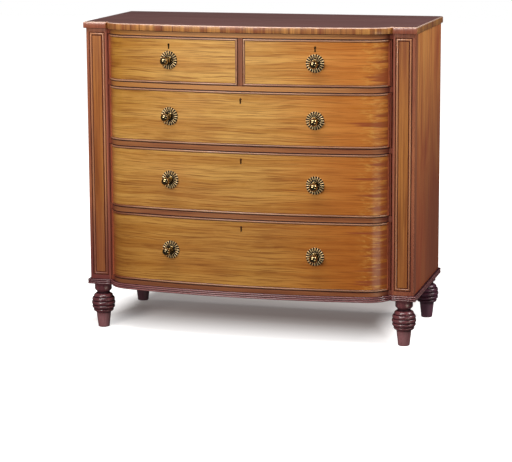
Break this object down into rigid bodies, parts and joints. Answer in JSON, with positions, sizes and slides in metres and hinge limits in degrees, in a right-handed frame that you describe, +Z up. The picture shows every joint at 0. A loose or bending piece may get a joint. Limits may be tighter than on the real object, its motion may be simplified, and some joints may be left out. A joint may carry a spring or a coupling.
{
  "type": "chest of drawers",
  "caption": "Bow front chest of drawers with breakfront top, panelled pilasters, short drawers over long ones, fluted round knobs and turned feet.",
  "frame": {"origin": "on the floor, below the middle of the chest's overall width and depth", "axes": "+X runs to the right when facing the drawers, +Y from the front to the back, +Z up"},
  "size_m": [1.096, 0.5798, 1.013],
  "materials": {
    "drawer_front_wood": "figured satinwood and mahogany veneer under a French polish",
    "carcase_wood": "red-brown mahogany under a French polish",
    "turned_wood": "dark red polished turned mahogany",
    "drawer_lining_wood": "bare planed oak",
    "back_wood": "bare pine, darkened",
    "brass": "aged lacquered brass",
    "iron": "dull forged iron"
  },
  "bodies": {
    "carcase": {"top_board": "carcase_wood", "top_frame": "carcase_wood", "side_left": "carcase_wood", "side_right": "carcase_wood", "back_panel": "back_wood", "pilaster_left": "carcase_wood", "pilaster_right": "carcase_wood", "shelf_upper": "carcase_wood", "shelf_middle": "carcase_wood", "shelf_lower": "carcase_wood", "base_shelf": "carcase_wood", "centre_divider": "carcase_wood", "base_moulding": "carcase_wood", "foot_front_left": "turned_wood", "foot_front_right": "turned_wood", "foot_back_left": "turned_wood", "foot_back_right": "turned_wood"},
    "lower_drawer": {"lower_drawer_front": "drawer_front_wood", "lower_drawer_side_left": "drawer_lining_wood", "lower_drawer_side_right": "drawer_lining_wood", "lower_drawer_back": "drawer_lining_wood", "lower_drawer_bottom": "drawer_lining_wood", "lower_drawer_knob_left": "brass", "lower_drawer_knob_right": "brass", "lower_drawer_lock": "iron"},
    "lower_drawer_bolt": {"lower_drawer_lock_bolt": "brass"},
    "middle_drawer": {"middle_drawer_front": "drawer_front_wood", "middle_drawer_side_left": "drawer_lining_wood", "middle_drawer_side_right": "drawer_lining_wood", "middle_drawer_back": "drawer_lining_wood", "middle_drawer_bottom": "drawer_lining_wood", "middle_drawer_knob_left": "brass", "middle_drawer_knob_right": "brass", "middle_drawer_lock": "iron"},
    "middle_drawer_bolt": {"middle_drawer_lock_bolt": "brass"},
    "upper_drawer": {"upper_drawer_front": "drawer_front_wood", "upper_drawer_side_left": "drawer_lining_wood", "upper_drawer_side_right": "drawer_lining_wood", "upper_drawer_back": "drawer_lining_wood", "upper_drawer_bottom": "drawer_lining_wood", "upper_drawer_knob_left": "brass", "upper_drawer_knob_right": "brass", "upper_drawer_lock": "iron"},
    "upper_drawer_bolt": {"upper_drawer_lock_bolt": "brass"},
    "short_left_drawer": {"short_left_drawer_front": "drawer_front_wood", "short_left_drawer_side_left": "drawer_lining_wood", "short_left_drawer_side_right": "drawer_lining_wood", "short_left_drawer_back": "drawer_lining_wood", "short_left_drawer_bottom": "drawer_lining_wood", "short_left_drawer_knob": "brass", "short_left_drawer_lock": "iron"},
    "short_left_drawer_bolt": {"short_left_drawer_lock_bolt": "brass"},
    "short_right_drawer": {"short_right_drawer_front": "drawer_front_wood", "short_right_drawer_side_left": "drawer_lining_wood", "short_right_drawer_side_right": "drawer_lining_wood", "short_right_drawer_back": "drawer_lining_wood", "short_right_drawer_bottom": "drawer_lining_wood", "short_right_drawer_knob": "brass", "short_right_drawer_lock": "iron"},
    "short_right_drawer_bolt": {"short_right_drawer_lock_bolt": "brass"}
  },
  "joints": [
    {"name": "lower_drawer_slide", "type": "slide", "parent": "carcase", "child": "lower_drawer", "axis": [0, -1, 0], "range_m": [0, 0.32]},
    {"name": "lower_drawer_bolt_slide", "type": "slide", "parent": "lower_drawer", "child": "lower_drawer_bolt", "axis": [0, 0, 1], "range_m": [0, 0.008]},
    {"name": "middle_drawer_slide", "type": "slide", "parent": "carcase", "child": "middle_drawer", "axis": [0, -1, 0], "range_m": [0, 0.32]},
    {"name": "middle_drawer_bolt_slide", "type": "slide", "parent": "middle_drawer", "child": "middle_drawer_bolt", "axis": [0, 0, 1], "range_m": [0, 0.008]},
    {"name": "upper_drawer_slide", "type": "slide", "parent": "carcase", "child": "upper_drawer", "axis": [0, -1, 0], "range_m": [0, 0.32]},
    {"name": "upper_drawer_bolt_slide", "type": "slide", "parent": "upper_drawer", "child": "upper_drawer_bolt", "axis": [0, 0, 1], "range_m": [0, 0.008]},
    {"name": "short_left_drawer_slide", "type": "slide", "parent": "carcase", "child": "short_left_drawer", "axis": [0, -1, 0], "range_m": [0, 0.32]},
    {"name": "short_left_drawer_bolt_slide", "type": "slide", "parent": "short_left_drawer", "child": "short_left_drawer_bolt", "axis": [0, 0, 1], "range_m": [0, 0.008]},
    {"name": "short_right_drawer_slide", "type": "slide", "parent": "carcase", "child": "short_right_drawer", "axis": [0, -1, 0], "range_m": [0, 0.32]},
    {"name": "short_right_drawer_bolt_slide", "type": "slide", "parent": "short_right_drawer", "child": "short_right_drawer_bolt", "axis": [0, 0, 1], "range_m": [0, 0.008]}
  ]
}
